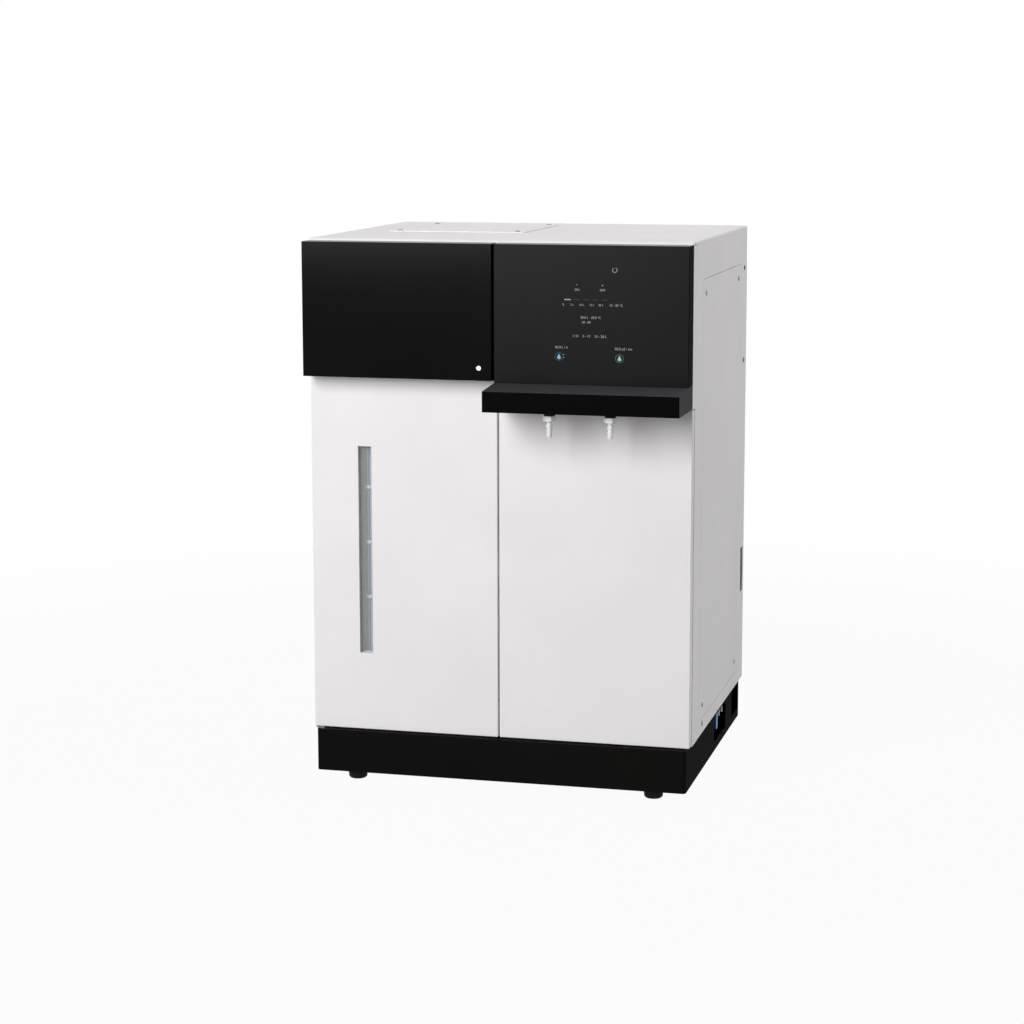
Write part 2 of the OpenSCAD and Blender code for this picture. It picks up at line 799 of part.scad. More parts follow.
module storage_tank() {
    lo = [tank_x0, tank_y0];
    hi = [tank_x1, tank_y0 + tank_d];
    w = [tank_t, tank_t];
    color("#e9edee") in_frame() difference() {
        union() {
            translate([0, 0, floor_z]) linear_extrude(tank_h) round_rect(lo, hi, 18);
            rod_z([lid_x, lid_y, tank_z1], lid_r - 4, neck_h);
        }
        translate([0, 0, floor_z + tank_t]) linear_extrude(tank_h - 2 * tank_t)
            round_rect(lo + w, hi - w, 18 - tank_t);
        rod_z([lid_x, lid_y, tank_z1 - 10], lid_r - 7, neck_h + 11);
        rod_x([tank_x1 - 10, valve_y, floor_z + 26], 2.5, 20);
        rod_y([gauge_x, tank_y0 - 1, gauge_z0 - 12], 2.5, 10);
    }
}

module tank_lid() {
    color("#2b5c9e") in_frame() difference() {
        union() {
            rod_z([lid_x, lid_y, lid_z], lid_r, 6);
            difference() {
                rod_z([lid_x, lid_y, lid_z - 10], lid_r, 10);
                rod_z([lid_x, lid_y, lid_z - 11], lid_r - 3.8, 12);
            }
            rod_z([lid_x, lid_y, float_z - 3], 3, lid_z - float_z + 4);
            rod_z([lid_x, lid_y, float_z - 3], 5, 3);
            rod_z([lid_x, lid_y, float_z + float_h + 14], 5, 3);
        }
        rod_z([cond_x - 44, boiler_y, lid_z - 1], 3, 8);
    }
}

module level_float() {
    color("#f0efe9") in_frame() difference() {
        rod_z([lid_x, lid_y, float_z], 13, float_h);
        rod_z([lid_x, lid_y, float_z - 1], 3 + pin_play, float_h + 2);
    }
}

module gauge_tube() {
    color("#dfe9ec") in_frame() difference() {
        rod_z([gauge_x, gauge_y, gauge_z0], gauge_r, gauge_z1 - gauge_z0);
        rod_z([gauge_x, gauge_y, gauge_z0 - 1], gauge_r - 1.2, gauge_z1 - gauge_z0 + 2);
    }
}

module gauge_fittings() {
    color("#eeeeec") in_frame() union() {
        rod_z([gauge_x, gauge_y, gauge_z0 - 20], gauge_r + 1.2, 20);
        rod_y([gauge_x, gauge_y, gauge_z0 - 12], gauge_r + 0.5, tank_y0 - gauge_y);
        rod_z([gauge_x, gauge_y, gauge_z1], gauge_r + 1.2, 8);
    }
}

channel_y = gauge_y + gauge_r + 1.5;

module gauge_channel() {
    color("#f2f2f0") in_frame() union() {
        span([gauge_x - 14, channel_y, gauge_z0 + 6], [gauge_x + 14, channel_y + sheet_t, gauge_z1 - 2]);
        for (x = [gauge_x - 14, gauge_x + 14 - sheet_t])
            span([x, channel_y, gauge_z0 + 6], [x + sheet_t, tank_y0, gauge_z1 - 2]);
    }
}

module gauge_clips() {
    color("#f4f4f2") in_frame() for (i = [0:2]) {
        z = slit_z0 + slit_h * (0.264 + 0.264 * i);
        difference() {
            span([gauge_x - 6, gauge_y - 2, z - 5], [gauge_x + 6, channel_y, z + 5]);
            rod_z([gauge_x, gauge_y, z - 6], gauge_r + 0.1, 12);
        }
    }
}

// Still

module boiler_base() {
    color("#2a2a2b") in_frame() difference() {
        rod_z([boiler_x, boiler_y, still_z], boiler_r + base_rim, base_h + 8);
        rod_z([boiler_x, boiler_y, still_z + base_h], boiler_r + 0.2, base_h);
    }
}

module boiler_vessel() {
    color("#dce7ea") in_frame() difference() {
        rod_z([boiler_x, boiler_y, still_z + base_h], boiler_r, vessel_h);
        rod_z([boiler_x, boiler_y, still_z + base_h + 3], boiler_r - 3, vessel_h);
    }
}

module boiler_lid() {
    color("#c2c4c6") in_frame() difference() {
        union() {
            rod_z([boiler_x, boiler_y, vessel_z1], boiler_r + 4, 6);
            translate([boiler_x, boiler_y, vessel_z1 + 6]) cylinder(r1 = boiler_r - 6, r2 = 14, h = 12);
            rod_z([boiler_x, boiler_y, vessel_z1 + 17], 9, 8);
            for (a = [30:60:330]) translate([boiler_x, boiler_y, vessel_z1 + 6]) rotate([0, 0, a])
                translate([boiler_r - 1, 0, 0]) cylinder(r = 4, h = 4, $fn = 6);
        }
        rod_z([boiler_x, boiler_y, vessel_z1 - 1], 5, 30);
        for (x = [-heater_x, heater_x]) rod_z([boiler_x + x, boiler_y, vessel_z1 - 1], 4, 30);
    }
}

module heater_element() {
    z0 = still_z + base_h + 14;
    z1 = vessel_z1 + 22;
    color("#9b9da0") in_frame() solid_pipe([
        [boiler_x - heater_x, boiler_y, z1],
        [boiler_x - heater_x, boiler_y, z0],
        [boiler_x + heater_x, boiler_y, z0],
        [boiler_x + heater_x, boiler_y, z1]
    ], 3.9);
}

module condenser_jacket() {
    color("#dce7ea") in_frame() difference() {
        rod_z([cond_x, boiler_y, cond_z0], cond_r, cond_h);
        rod_z([cond_x, boiler_y, cond_z0 - 1], cond_r - 2.5, cond_h + 2);
    }
}

module condenser_core() {
    color("#d3e2e6") in_frame() difference() {
        union() {
            rod_z([cond_x, boiler_y, cond_z0], 7, cond_h);
            for (i = [0:4]) translate([cond_x, boiler_y, cond_z0 + cond_h * (0.14 + 0.18 * i)]) sphere(14);
        }
        rod_z([cond_x, boiler_y, cond_z0 - 1], 5.5, cond_h + 2);
    }
}

module condenser_caps() {
    color("#2a2a2b") in_frame() {
        difference() {
            union() {
                rod_z([cond_x, boiler_y, cond_z0 - cap_h], cond_r + cap_rim, cap_h);
                span([cond_x - cond_r, boiler_y - 10, still_z], [cond_x - cond_r + 8, boiler_y + 10, cond_z0]);
                span([cond_x + cond_r - 8, boiler_y - 10, still_z], [cond_x + cond_r, boiler_y + 10, cond_z0]);
            }
            rod_z([cond_x, boiler_y, still_z - 1], 6, cap_h + 40);
        }
        difference() {
            union() {
                rod_z([cond_x, boiler_y, cond_z0 + cond_h], cond_r + cap_rim, cap_h);
                rod_y([cond_x, boiler_y - cond_r - 20, cond_z0 + cond_h + 6], 4, 30);
            }
            rod_z([cond_x, boiler_y, cond_z0 + cond_h - 1], 6, cap_h + 2);
        }
    }
}

module still_pipes() {
    lid_top = lid_z + 6;
    drop_z = lid_top + pipe_drop;
    color("#c9cbcc") in_frame() union() {
        tube([
            [boiler_x, boiler_y, vessel_z1 + 25],
            [boiler_x, boiler_y, steam_z],
            [cond_x, boiler_y, steam_z],
            [cond_x, boiler_y, cond_z0 + cond_h + cap_h]
        ], 7, 5);
        tube([
            [cond_x, boiler_y, cond_z0 - cap_h],
            [cond_x, boiler_y, drop_z],
            [cond_x - 44, boiler_y, drop_z],
            [cond_x - 44, boiler_y, lid_top]
        ], 5, 3);
    }
}

// Right side

module ion_cartridge() {
    x = hw * 0.364;
    y = post_y + cartridge_in;
    top_z = floor_z + cartridge_h;
    color("#dfe3e4") in_frame() union() {
        rod_z([x, y, floor_z], cartridge_r, cartridge_cap);
        rod_z([x, y, floor_z], cartridge_r - 5, cartridge_h);
        rod_z([x, y, top_z - cartridge_cap], cartridge_r, cartridge_cap);
        rod_z([x, y, top_z], cartridge_r * 0.16, cartridge_cap);
    }
}

module feed_pump() {
    x = hw * 0.34;
    y = back_y - 90;
    color("#2c2d2f") in_frame() union() {
        span([x - 38, y - 30, floor_z], [x + 38, y + 30, floor_z + 6]);
        span([x - 34, y - 22, floor_z + 6], [x - 4, y + 22, floor_z + 62]);
        rod_x([x - 4, y, floor_z + 34], 20, 60);
        rod_z([x - 20, y - 8, floor_z + 62], 5, 16);
        rod_z([x - 20, y + 10, floor_z + 62], 5, 16);
    }
}

module inlet_valve() {
    color("#e8e8e4") in_frame() difference() {
        union() {
            rod_z([valve_x, inlet_y, valve_z], 6, plinth_h - valve_z);
            rod_z([valve_x, inlet_y, valve_z], 3.9, floor_z - valve_z + 2);
            translate([valve_x, inlet_y, valve_z]) sphere(6);
            rod_x([valve_x, inlet_y, valve_z], 5, 4);
            translate([valve_x + 22, inlet_y, valve_z]) rotate([0, -90, 0]) hose_tail(4, 19, 6);
            span([valve_x - 16, inlet_y - 14, floor_z], [valve_x + 14, inlet_y + 14, floor_z + 26]);
            rod_z([valve_x, inlet_y, floor_z + 26], 13, 30);
        }
        rod_x([valve_x, inlet_y, valve_z], 2.4, 30);
    }
}

module water_hoses() {
    z = floor_z + 26;
    color("#e3e6e4") in_frame() union() {
        for (x = [nozzle_a_x, nozzle_b_x]) tube([
            [x, nozzle_y, hood_z0 + shank_up],
            [x, nozzle_y, hose_z],
            [x, post_y + hose_in, hose_z],
            [x, post_y + hose_in, hose_z - hose_drop]
        ], hose_r, 2);
        tube([[tank_x1, valve_y, z], [valve_x, valve_y, z], [valve_x, valve_y, floor_z]], hose_r, 2.5);
    }
}

module main_breaker() {
    half_h = breaker_slot_h / 2 + 3.5;
    lo = [breaker_face - breaker_d, breaker_y - breaker_w / 2, breaker_z - half_h];
    hi = [breaker_face, back_y, breaker_z + half_h];
    color("#3b3c3e") in_frame() difference() {
        span(lo, hi);
        span([breaker_face - 12, breaker_y - 4.4, breaker_z - 14], [hw, breaker_y + 4.4, breaker_z + 14]);
        rod_y([breaker_face - 4, breaker_y - 8, breaker_z], 1.5 + pin_play, 16);
    }
}

module breaker_lever() {
    color("#101011") in_frame() translate([breaker_face - 4, breaker_y, breaker_z]) union() {
        rod_y([0, -4, 0], 4, 8);
        rod_y([0, -7, 0], 1.5, 14);
        rotate([0, -16, 0]) span([0, -4, -2], [6.8, 4, 2]);
    }
}

plinth_skirt();
plinth_floor();
rubber_feet();
foot_screws();
drain_valve();
drain_lever();
cable_gland();
chassis_floor();
front_post_left();
front_post_right();
rear_post_left();
rear_post_right();
top_cover();
service_plate();
cabinet_screws();
side_panel_left();
side_panel_right();
rear_panel();
centre_partition();
middle_shelf();
hinge_jamb();
panel_backing();
upper_cover();
cover_hinge_pins();
cover_fastener();
control_housing();
touch_panel();
control_board();
dispensing_hood();
nozzle_left();
nozzle_right();
nozzle_collars();
left_door();
door_liner();
slit_pane();
door_pivots();
door_magnets();
right_front_panel();
front_panel_studs();
storage_tank();
tank_lid();
level_float();
gauge_tube();
gauge_fittings();
gauge_channel();
gauge_clips();
boiler_base();
boiler_vessel();
boiler_lid();
heater_element();
condenser_jacket();
condenser_core();
condenser_caps();
still_pipes();
ion_cartridge();
feed_pump();
inlet_valve();
water_hoses();
main_breaker();
breaker_lever();
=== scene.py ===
"""The looks of a bench water still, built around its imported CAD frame."""
import json
from math import atan2, cos, pi, radians, sin

import bpy
from mathutils import Matrix, Vector


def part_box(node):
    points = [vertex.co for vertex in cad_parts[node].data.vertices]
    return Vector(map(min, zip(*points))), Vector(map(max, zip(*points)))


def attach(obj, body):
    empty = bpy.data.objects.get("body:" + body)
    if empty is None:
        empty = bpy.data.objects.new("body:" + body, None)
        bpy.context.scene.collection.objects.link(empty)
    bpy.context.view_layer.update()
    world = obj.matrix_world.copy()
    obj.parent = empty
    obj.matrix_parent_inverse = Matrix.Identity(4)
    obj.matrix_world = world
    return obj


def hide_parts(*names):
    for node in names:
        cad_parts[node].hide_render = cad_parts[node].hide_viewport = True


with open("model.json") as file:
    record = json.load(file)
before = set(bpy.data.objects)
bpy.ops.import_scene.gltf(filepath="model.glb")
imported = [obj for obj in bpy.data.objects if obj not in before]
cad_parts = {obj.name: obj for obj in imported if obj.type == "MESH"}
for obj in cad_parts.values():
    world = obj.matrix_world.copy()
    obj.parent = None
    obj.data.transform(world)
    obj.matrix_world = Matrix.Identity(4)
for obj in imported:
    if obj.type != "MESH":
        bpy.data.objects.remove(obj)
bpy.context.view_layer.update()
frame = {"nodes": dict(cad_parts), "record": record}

MM = 0.001
CLOSE = 1e-5        # metres: nearer than this counts as the same place
CABINET, COVER = "cabinet", "still_cover"


# Camera, floor and studio light

bpy.ops.object.select_all(action="DESELECT")
bpy.ops.object.camera_add(
    location=(0.7842, -3.1811, 0.8909),
    rotation=(radians(90 - 8.808), radians(0.078), radians(14.251)),
)
camera = bpy.context.object
camera.name = "photo_camera"
camera.data.lens = 86.907
camera.data.shift_y = -0.03
bpy.context.scene.camera = camera

bpy.context.scene.view_settings.view_transform = "Standard"


def linear(colour):
    """An sRGB hex colour as linear red, green, blue and alpha."""
    parts = [int(colour[i:i + 2], 16) / 255 for i in (1, 3, 5)]
    return [c / 12.92 if c <= 0.04045 else ((c + 0.055) / 1.055) ** 2.4 for c in parts] + [1.0]


def put(tree, kind, inputs=None, **settings):
    """Adds one shader node. settings are its own properties, inputs its sockets' values or links."""
    node = tree.nodes.new("ShaderNode" + kind)
    for key, value in settings.items():
        setattr(node, key, value)
    for socket, value in (inputs or {}).items():
        if isinstance(value, bpy.types.NodeSocket):
            tree.links.new(value, node.inputs[socket])
        else:
            node.inputs[socket].default_value = value
    return node


def softbox(name, place, aim, width, height, watts):
    """A rectangular studio lamp at place, in metres, turned to aim."""
    bpy.ops.object.light_add(type="AREA", location=place)
    lamp = bpy.context.object
    lamp.name = name
    lamp.rotation_euler = (Vector(aim) - Vector(place)).to_track_quat("-Z", "Y").to_euler()
    lamp.data.shape = "RECTANGLE"
    lamp.data.size, lamp.data.size_y = width, height
    lamp.data.energy = watts


softbox("key_front_left", (-1.28, -3.51, 1.95), (0, -0.2, 0.45), 1.75, 2.3, 143)
softbox("low_strip", (-1.1, -3.9, 0.56), (0, -0.2, 0.6), 1.7, 0.14, 8)
softbox("top_back", (0.2, 0.6, 2.3), (0, -0.1, 0.6), 1.4, 1.2, 12)
softbox("side_right", (2.8, 0.3, 1.2), (0, 0, 0.35), 1.4, 1.6, 27)
softbox("side_left", (-2.3, 2.2, 0.85), (0, 0.1, 0.35), 1.4, 1.4, 32)
softbox("back_fill", (-0.6, 3.2, 0.4), (0, 0.2, 0.36), 1.8, 0.5, 13)

# Near the still, this share of the floor's white doesn't come from the lamps: the shadow stays faint.
# Between the two distances from the middle, in metres, it rises to the whole.
WHITE_TO_EYE = 0.955
WHITE_FROM, WHITE_WHOLE = 0.7, 2.2


def looked_at(tree):
    """A socket: 1 for rays that look, also through glass or in a mirror, 0 for light that spreads."""
    path = put(tree, "LightPath").outputs
    clear = put(tree, "Math", {0: path["Is Camera Ray"], 1: path["Is Transmission Ray"]}, operation="MAXIMUM")
    look = put(tree, "Math", {0: clear.outputs[0], 1: path["Is Glossy Ray"]}, operation="MAXIMUM")
    return look.outputs[0]


sky = bpy.data.worlds.new("studio_white")
bpy.context.scene.world = sky
sky.use_nodes = True
tree = sky.node_tree
tree.nodes.clear()
room = put(tree, "Background", {"Color": linear("#f4f6f8"), "Strength": 0.04})
backdrop = put(tree, "Background", {"Color": (1, 1, 1, 1), "Strength": 1.0})
both = put(tree, "MixShader", {0: looked_at(tree), 1: room.outputs[0], 2: backdrop.outputs[0]})
put(tree, "OutputWorld", {"Surface": both.outputs[0]})

bpy.ops.mesh.primitive_circle_add(vertices=96, radius=14, fill_type="NGON", location=(0, 0, 0))
floor = bpy.context.object
floor.name = "studio_floor"
paper = bpy.data.materials.new("white_studio_paper")
paper.use_nodes = True
tree = paper.node_tree
tree.nodes.clear()
spot = put(tree, "TexCoord").outputs["Object"]
away = put(tree, "VectorMath", {0: spot}, operation="LENGTH")
white = put(tree, "MapRange", {
    0: away.outputs["Value"], 1: WHITE_FROM, 2: WHITE_WHOLE, 3: WHITE_TO_EYE, 4: 1.0,
}, interpolation_type="SMOOTHSTEP")
share = put(tree, "Math", {0: looked_at(tree), 1: white.outputs[0]}, operation="MULTIPLY")
matt = put(tree, "BsdfDiffuse", {"Color": linear("#9c9c9c")})
glow = put(tree, "Emission", {"Color": (1, 1, 1, 1), "Strength": 1.0})
both = put(tree, "MixShader", {0: share.outputs[0], 1: matt.outputs[0], 2: glow.outputs[0]})
put(tree, "OutputMaterial", {"Surface": both.outputs[0]})
floor.data.materials.append(paper)


# Finishes

def blank(name):
    """A new material with nothing but its shader and output."""
    finish = bpy.data.materials.new(name)
    finish.use_nodes = True
    finish.node_tree.nodes.clear()
    shader = put(finish.node_tree, "BsdfPrincipled")
    put(finish.node_tree, "OutputMaterial", {"Surface": shader.outputs[0]})
    return finish, finish.node_tree, shader


def surface(name, pale, deep, gloss, grain_mm, depth_mm, drift_mm=140, stretch=(1, 1, 1), **sockets):
    """Paint, plastic, rubber or metal. Its colour drifts from pale to deep over drift_mm, its roughness
    over the two values of gloss, and grain_mm is the width of the grain that depth_mm raises on it."""
    finish, tree, shader = blank(name)
    spot = put(tree, "TexCoord").outputs["Object"]
    lay = put(tree, "Mapping", {"Vector": spot, "Scale": stretch})
    drift = put(tree, "TexNoise", {"Vector": spot, "Scale": 1000 / drift_mm, "Detail": 3, "Roughness": 0.6})
    grain = put(tree, "TexNoise", {"Vector": lay.outputs[0], "Scale": 1000 / grain_mm, "Detail": 2})
    tint = put(tree, "ValToRGB", {0: drift.outputs[0]})
    tint.color_ramp.elements[0].position, tint.color_ramp.elements[1].position = 0.3, 0.7
    tint.color_ramp.elements[0].color = linear(deep)
    tint.color_ramp.elements[1].color = linear(pale)
    rough = put(tree, "MapRange", {0: grain.outputs[0], 1: 0.3, 2: 0.7, 3: gloss[0], 4: gloss[1]})
    raised = put(tree, "Bump", {"Height": grain.outputs[0], "Strength": 1.0, "Distance": depth_mm * MM})
    tree.links.new(tint.outputs[0], shader.inputs["Base Color"])
    tree.links.new(rough.outputs[0], shader.inputs["Roughness"])
    tree.links.new(raised.outputs[0], shader.inputs["Normal"])
    for socket, value in sockets.items():
        shader.inputs[socket.replace("_", " ")].default_value = value
    return finish


# Powder coat is sprayed dry and baked, which leaves a fine orange peel: 2.2 mm wide, so that it shows
WHITE_COAT = surface("white_powder_coat", "#ece9ea", "#e7e4e5", (0.42, 0.52), 2.2, 0.012)
GREY_COAT = surface("grey_powder_coat", "#cfd0d1", "#c6c7c8", (0.45, 0.55), 2.2, 0.012)
# Black paint and plastic hardly shine head on, so they have a thin share of clear coat and no other gloss
BLACK_COAT = surface("black_powder_coat", "#100f0e", "#0c0b0b", (0.46, 0.56), 1.8, 0.012,
                     Specular_IOR_Level=0.0, Coat_Weight=0.05, Coat_Roughness=0.42)
# The covers are the same steel in a finer satin black, which shows soft broad reflections
SATIN_BLACK = surface("satin_black_coat", "#0a0a0a", "#080708", (0.36, 0.42), 1.6, 0.006,
                      Specular_IOR_Level=0.0, Coat_Weight=0.1, Coat_Roughness=0.12)
# The same black, lighter and glossier, for the up-facing faces only: a painted highlight along the narrow tops, where
# the black mirrors the studio
BLACK_PAINTED_SHEEN = surface("satin_black_painted_sheen", "#121112", "#0e0d0e", (0.3, 0.36), 1.6, 0.004)
# The touch panel is smoked acrylic, cast smooth, with its marks printed on it
SMOKED_PANEL = surface("smoked_acrylic", "#121114", "#0f0e10", (0.3, 0.34), 3.0, 0.003, 220,
                       Specular_IOR_Level=0.0, Coat_Weight=0.16, Coat_Roughness=0.26,
                       Coat_Tint=(0.92, 0.9, 1.0, 1.0))
# The hood is folded steel in one black: its front band is gloss enamel, made darker as painted shade, and its top and
# ends have a fine grain and a grey colour that is painted light from the lamps above
GLOSS_BLACK_PAINTED_SHADE = surface("black_gloss_painted_shade", "#060606", "#040404", (0.34, 0.4), 2.5, 0.004,
                    Specular_IOR_Level=0.0, Coat_Weight=0.035, Coat_Roughness=0.3)
GREY_BLACK_PAINTED_LIGHT = surface("black_grained_painted_light", "#4e4e52", "#48484c", (0.5, 0.6), 1.0, 0.02,
                      Specular_IOR_Level=0.0, Coat_Weight=0.1, Coat_Roughness=0.5)
# Spark-eroded moulds leave an even fine grain
MATT_ABS = surface("black_moulded_abs", "#121213", "#0e0e0f", (0.48, 0.58), 1.0, 0.02,
                   Specular_IOR_Level=0.0, Coat_Weight=0.07, Coat_Roughness=0.5)
GREY_ABS = surface("grey_moulded_abs", "#46474a", "#3d3e41", (0.46, 0.56), 1.0, 0.02,
                   Specular_IOR_Level=0.2)
WHITE_ACETAL = surface("white_acetal", "#f0f0ed", "#e9e9e5", (0.34, 0.42), 1.5, 0.006, 12)
WHITE_PP = surface("white_polypropylene", "#e9eae9", "#e0e2e2", (0.4, 0.5), 1.6, 0.01, 60)
BLUE_PP = surface("blue_polypropylene", "#2263b8", "#1c58a8", (0.35, 0.45), 1.2, 0.01, 15)
RUBBER = surface("nitrile_rubber", "#191919", "#131313", (0.62, 0.75), 1.2, 0.03, 20,
                 Specular_IOR_Level=0.12)
SILICONE = surface("silicone_hose", "#e6e9e7", "#dde1df", (0.38, 0.48), 1.5, 0.008, 40,
                   Subsurface_Weight=0.3, Subsurface_Scale=0.003)
# Blow-moulded polyethylene is milky: light spreads in its wall
MILKY_PE = surface("natural_polyethylene", "#e9eceb", "#dfe4e4", (0.36, 0.46), 3.0, 0.03, 90,
                   Subsurface_Weight=0.4, Subsurface_Scale=0.006)
STEEL = surface("brushed_stainless", "#c3c4c6", "#b4b5b8", (0.22, 0.34), 0.6, 0.004, 30,
                stretch=(1, 1, 0.04), Metallic=1.0)
ZINC = surface("dull_zinc_plate", "#737477", "#5e6064", (0.28, 0.42), 0.8, 0.006, 6, Metallic=1.0)
NICKEL = surface("bright_nickel_plate", "#d2d2d1", "#c2c3c4", (0.2, 0.3), 0.8, 0.004, 6, Metallic=1.0)
BLACK_OXIDE = surface("black_oxide_steel", "#2a2a2b", "#1e1e1f", (0.38, 0.5), 0.8, 0.008, 6, Metallic=0.6)
FERRITE = surface("ferrite_magnet", "#3a3a3c", "#2e2e30", (0.5, 0.62), 0.8, 0.02, 10)
BOARD = surface("solder_resist_board", "#1f6b45", "#185a39", (0.3, 0.42), 1.4, 0.02, 25)
LID_PP = surface("blue_lid_polypropylene", "#2f66ad", "#28599b", (0.38, 0.48), 1.4, 0.012, 40)
INK = surface("white_screen_ink", "#a8a8aa", "#9d9d9f", (0.5, 0.6), 0.6, 0.002, 8)
UNLIT = surface("unlit_grey_ink", "#333337", "#2e2e32", (0.4, 0.5), 0.6, 0.002, 8, Specular_IOR_Level=0.1)
WHITE_ENAMEL = surface("white_enamel", "#f0f4f6", "#e8eef1", (0.2, 0.28), 1.0, 0.002, 20)
STRIPE = surface("blue_enamel_stripe", "#2474b2", "#1f69a2", (0.2, 0.3), 1.0, 0.002, 20)


def glass(name, tint, ior, rough):
    """A clear wall, with the faint unevenness of drawn or blown work."""
    finish, tree, shader = blank(name)
    spot = put(tree, "TexCoord").outputs["Object"]
    ripple = put(tree, "TexNoise", {"Vector": spot, "Scale": 1000 / 25, "Detail": 1})
    raised = put(tree, "Bump", {"Height": ripple.outputs[0], "Strength": 0.3, "Distance": 0.02 * MM})
    tree.links.new(raised.outputs[0], shader.inputs["Normal"])
    shader.inputs["Base Color"].default_value = linear(tint)
    shader.inputs["Roughness"].default_value = rough
    shader.inputs["IOR"].default_value = ior
    shader.inputs["Transmission Weight"].default_value = 1.0
    return finish


BOROSILICATE = glass("borosilicate_glass", "#eef5f5", 1.47, 0.02)


def pane(name, tint, solid):
    """A thin clear sheet: solid is the share of light that it stops."""
    finish, tree, shader = blank(name)
    spot = put(tree, "TexCoord").outputs["Object"]
    haze = put(tree, "TexNoise", {"Vector": spot, "Scale": 1000 / 30, "Detail": 2})
    rough = put(tree, "MapRange", {0: haze.outputs[0], 1: 0.3, 2: 0.7, 3: 0.04, 4: 0.1})
    tree.links.new(rough.outputs[0], shader.inputs["Roughness"])
    shader.inputs["Base Color"].default_value = linear(tint)
    shader.inputs["Alpha"].default_value = solid
    return finish


SLIT_SHEET = pane("clear_acrylic_sheet", "#eaeff1", 0.15)
GAUGE_TUBE = pane("clear_acrylic_tube", "#d9ecf6", 0.06)


def lit(name, colour, strength):
    """A mark on the panel with a lamp behind it: it glows, a little brighter and darker in specks."""
    finish, tree, shader = blank(name)
    spot = put(tree, "TexCoord").outputs["Object"]
    speck = put(tree, "TexNoise", {"Vector": spot, "Scale": 1000 / 2.5, "Detail": 1})
    tint = put(tree, "ValToRGB", {0: speck.outputs[0]})
    tint.color_ramp.elements[0].color = [c * 0.8 for c in linear(colour)[:3]] + [1]
    tint.color_ramp.elements[1].color = linear(colour)
    tree.links.new(tint.outputs[0], shader.inputs["Base Color"])
    tree.links.new(tint.outputs[0], shader.inputs["Emission Color"])
    shader.inputs["Emission Strength"].default_value = strength
    shader.inputs["Roughness"].default_value = 0.4
    return finish


LIT_WHITE = lit("lit_white_bar", "#969694", 0.15)
LIT_BLUE = lit("lit_blue_drop", "#6ca6c0", 0.25)
LIT_GREEN = lit("lit_pale_green_drop", "#9cafa6", 0.2)
RING_GREEN = lit("dark_green_ring", "#1f6a5a", 0.25)
RING_BLUE = lit("dark_blue_ring", "#16415e", 0.25)


# Ways of making

def pick(*pieces):
    """Leaves only these pieces selected, the first of them active."""
    bpy.ops.object.select_all(action="DESELECT")
    for piece in pieces:
        piece.select_set(True)
    bpy.context.view_layer.objects.active = pieces[0]


def choose_edges(piece, wanted):
    """Opens a piece for editing with the edges selected whose two ends wanted takes."""
    pick(piece)
    bpy.ops.object.mode_set(mode="EDIT")
    bpy.ops.mesh.select_mode(type="EDGE")
    bpy.ops.mesh.select_all(action="DESELECT")
    bpy.ops.object.mode_set(mode="OBJECT")
    points = piece.data.vertices
    for edge in piece.data.edges:
        edge.select = wanted(points[edge.vertices[0]].co, points[edge.vertices[1]].co)
    bpy.ops.object.mode_set(mode="EDIT")


def choose_faces(piece, wanted):
    """Opens a piece for editing with the faces selected whose middle and normal wanted takes."""
    pick(piece)
    bpy.ops.object.mode_set(mode="EDIT")
    bpy.ops.mesh.select_mode(type="FACE")
    bpy.ops.mesh.select_all(action="DESELECT")
    bpy.ops.object.mode_set(mode="OBJECT")
    for face in piece.data.polygons:
        face.select = wanted(face.center, face.normal)
    bpy.ops.object.mode_set(mode="EDIT")


def done():
    bpy.ops.object.mode_set(mode="OBJECT")


def soften(piece, edge_mm, steps=2, angle=40):
    """Rounds a piece's sharp edges and smooths its shading, with flat faces kept flat."""
    pick(piece)
    if edge_mm:
        rounding = piece.modifiers.new("edges", "BEVEL")
        rounding.width, rounding.segments = edge_mm * MM, steps
        rounding.limit_method, rounding.angle_limit = "ANGLE", radians(angle)
        bpy.ops.object.modifier_apply(modifier=rounding.name)
    bpy.ops.object.shade_smooth_by_angle(angle=radians(50))
    flats = piece.modifiers.new("flats", "WEIGHTED_NORMAL")
    flats.keep_sharp = True
    bpy.ops.object.modifier_apply(modifier=flats.name)


def settle(piece, finish, body=CABINET, nodes=()):
    """Gives a piece its finish and the body that it moves with, and hides the nodes that it stands for."""
    piece.data.materials.clear()
    piece.data.materials.append(finish)
    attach(piece, body)
    if nodes:
        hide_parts(*nodes)
    return piece


def body_of_node(node):
    return next(body for body, nodes in frame["record"]["behaviour"]["bodies"].items() if node in nodes)


def from_node(node, finish, fold=0.0, edge=0.3, steps=2):
    """A CAD node as it leaves the bending press or the mould: the corners of its box are rounded to fold,
    its other edges to edge, in mm."""
    piece = bpy.data.objects.new(node + "_made", frame["nodes"][node].data.copy())
    bpy.context.scene.collection.objects.link(piece)
    pick(piece)
    bpy.ops.mesh.customdata_custom_splitnormals_clear()
    bpy.ops.object.mode_set(mode="EDIT")
    bpy.ops.mesh.select_all(action="SELECT")
    bpy.ops.mesh.remove_doubles(threshold=1e-6)
    bpy.ops.mesh.dissolve_limited(angle_limit=radians(1))
    done()
    if fold:
        low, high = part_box(node)

        def on_side(a, b, i):
            return any(max(abs(a[i] - end[i]), abs(b[i] - end[i])) < CLOSE for end in (low, high))

        choose_edges(piece, lambda a, b: sum(on_side(a, b, i) for i in range(3)) > 1)
        bpy.ops.mesh.bevel(offset=fold * MM, segments=4, affect="EDGES", clamp_overlap=True)
        done()
    soften(piece, edge, steps)
    return settle(piece, finish, body_of_node(node), (node,))


